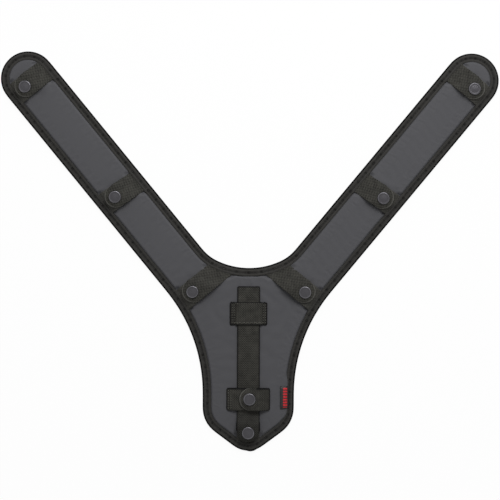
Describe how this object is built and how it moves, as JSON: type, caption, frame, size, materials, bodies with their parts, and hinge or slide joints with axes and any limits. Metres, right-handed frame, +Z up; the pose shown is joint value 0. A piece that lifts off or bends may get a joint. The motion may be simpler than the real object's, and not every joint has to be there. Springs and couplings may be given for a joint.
{
  "type": "harness shoulder yoke pad",
  "caption": "Y-shaped padded harness yoke that cushions shoulder straps under snap-fastened webbing keepers and holds a back strap.",
  "frame": {"origin": "middle of the footprint, on the surface that the lining lies on", "axes": "+Z up out of the face side, +Y from the bottom tip towards the arms' ends, +X across the two arms"},
  "size_m": [0.53, 0.4239, 0.0168],
  "materials": {
    "coated_fabric": "smooth matte coated polyester",
    "foam": "closed-cell foam board, hidden",
    "lining_mesh": "knitted mesh lining",
    "binding_tape": "ribbed grosgrain tape",
    "webbing": "woven 25 mm webbing",
    "tab_webbing": "woven 25 mm webbing",
    "label_tape": "woven ribbon, plain",
    "cap_metal": "satin gunmetal",
    "snap_metal": "satin black",
    "spring_wire": "bright drawn wire"
  },
  "bodies": {
    "root": {"face_fabric": "coated_fabric", "foam_core": "foam", "lining": "lining_mesh", "edge_binding": "binding_tape", "tab_left_tip": "tab_webbing", "tab_left_mid": "tab_webbing", "tab_left_base": "tab_webbing", "tab_right_tip": "tab_webbing", "tab_right_mid": "tab_webbing", "tab_right_base": "tab_webbing", "centre_strap": "webbing", "anchor_patch": "tab_webbing", "tail_tab": "tab_webbing", "lower_keeper_tab": "tab_webbing", "edge_label": "label_tape", "stud_left_tip": "snap_metal", "stud_left_mid": "snap_metal", "stud_left_base": "snap_metal", "stud_right_tip": "snap_metal", "stud_right_mid": "snap_metal", "stud_right_base": "snap_metal", "stud_lower_keeper": "snap_metal", "stud_tail": "snap_metal", "stud_rivets": "snap_metal"},
    "left_tip_keeper": {"flap_left_tip": "webbing", "cap_left_tip": "cap_metal", "socket_left_tip": "snap_metal", "spring_left_tip": "spring_wire"},
    "left_mid_keeper": {"flap_left_mid": "webbing", "cap_left_mid": "cap_metal", "socket_left_mid": "snap_metal", "spring_left_mid": "spring_wire"},
    "left_base_keeper": {"flap_left_base": "webbing", "cap_left_base": "cap_metal", "socket_left_base": "snap_metal", "spring_left_base": "spring_wire"},
    "right_tip_keeper": {"flap_right_tip": "webbing", "cap_right_tip": "cap_metal", "socket_right_tip": "snap_metal", "spring_right_tip": "spring_wire"},
    "right_mid_keeper": {"flap_right_mid": "webbing", "cap_right_mid": "cap_metal", "socket_right_mid": "snap_metal", "spring_right_mid": "spring_wire"},
    "right_base_keeper": {"flap_right_base": "webbing", "cap_right_base": "cap_metal", "socket_right_base": "snap_metal", "spring_right_base": "spring_wire"},
    "lower_keeper": {"lower_keeper_flap": "webbing", "cap_lower_keeper": "cap_metal", "socket_lower_keeper": "snap_metal", "spring_lower_keeper": "spring_wire"},
    "tail": {"strap_tail": "webbing", "cap_tail": "cap_metal", "socket_tail": "snap_metal", "spring_tail": "spring_wire"}
  },
  "joints": [
    {"name": "left_tip_keeper_opens", "type": "hinge", "parent": "root", "child": "left_tip_keeper", "pos_m": [-0.2171, 0.19168, 0.0058], "axis": [-0.6361, 0.7716, 0], "range_deg": [0, 150]},
    {"name": "left_mid_keeper_opens", "type": "hinge", "parent": "root", "child": "left_mid_keeper", "pos_m": [-0.12093, 0.07501, 0.0058], "axis": [-0.6361, 0.7716, 0], "range_deg": [0, 150]},
    {"name": "left_base_keeper_opens", "type": "hinge", "parent": "root", "child": "left_base_keeper", "pos_m": [-0.04441, -0.01419, 0.0058], "axis": [-0.9313, 0.3643, 0], "range_deg": [0, 150]},
    {"name": "right_tip_keeper_opens", "type": "hinge", "parent": "root", "child": "right_tip_keeper", "pos_m": [0.2171, 0.19168, 0.0058], "axis": [-0.6361, -0.7716, 0], "range_deg": [0, 150]},
    {"name": "right_mid_keeper_opens", "type": "hinge", "parent": "root", "child": "right_mid_keeper", "pos_m": [0.12093, 0.07501, 0.0058], "axis": [-0.6361, -0.7716, 0], "range_deg": [0, 150]},
    {"name": "right_base_keeper_opens", "type": "hinge", "parent": "root", "child": "right_base_keeper", "pos_m": [0.04441, -0.01419, 0.0058], "axis": [-0.9313, -0.3643, 0], "range_deg": [0, 150]},
    {"name": "lower_keeper_opens", "type": "hinge", "parent": "root", "child": "lower_keeper", "pos_m": [0.0228, -0.15679, 0.0086], "axis": [0, 1, 0], "range_deg": [0, 150]},
    {"name": "tail_opens", "type": "hinge", "parent": "root", "child": "tail", "pos_m": [0, -0.17079, 0.0086], "axis": [-1, 0, 0], "range_deg": [0, 70]}
  ]
}
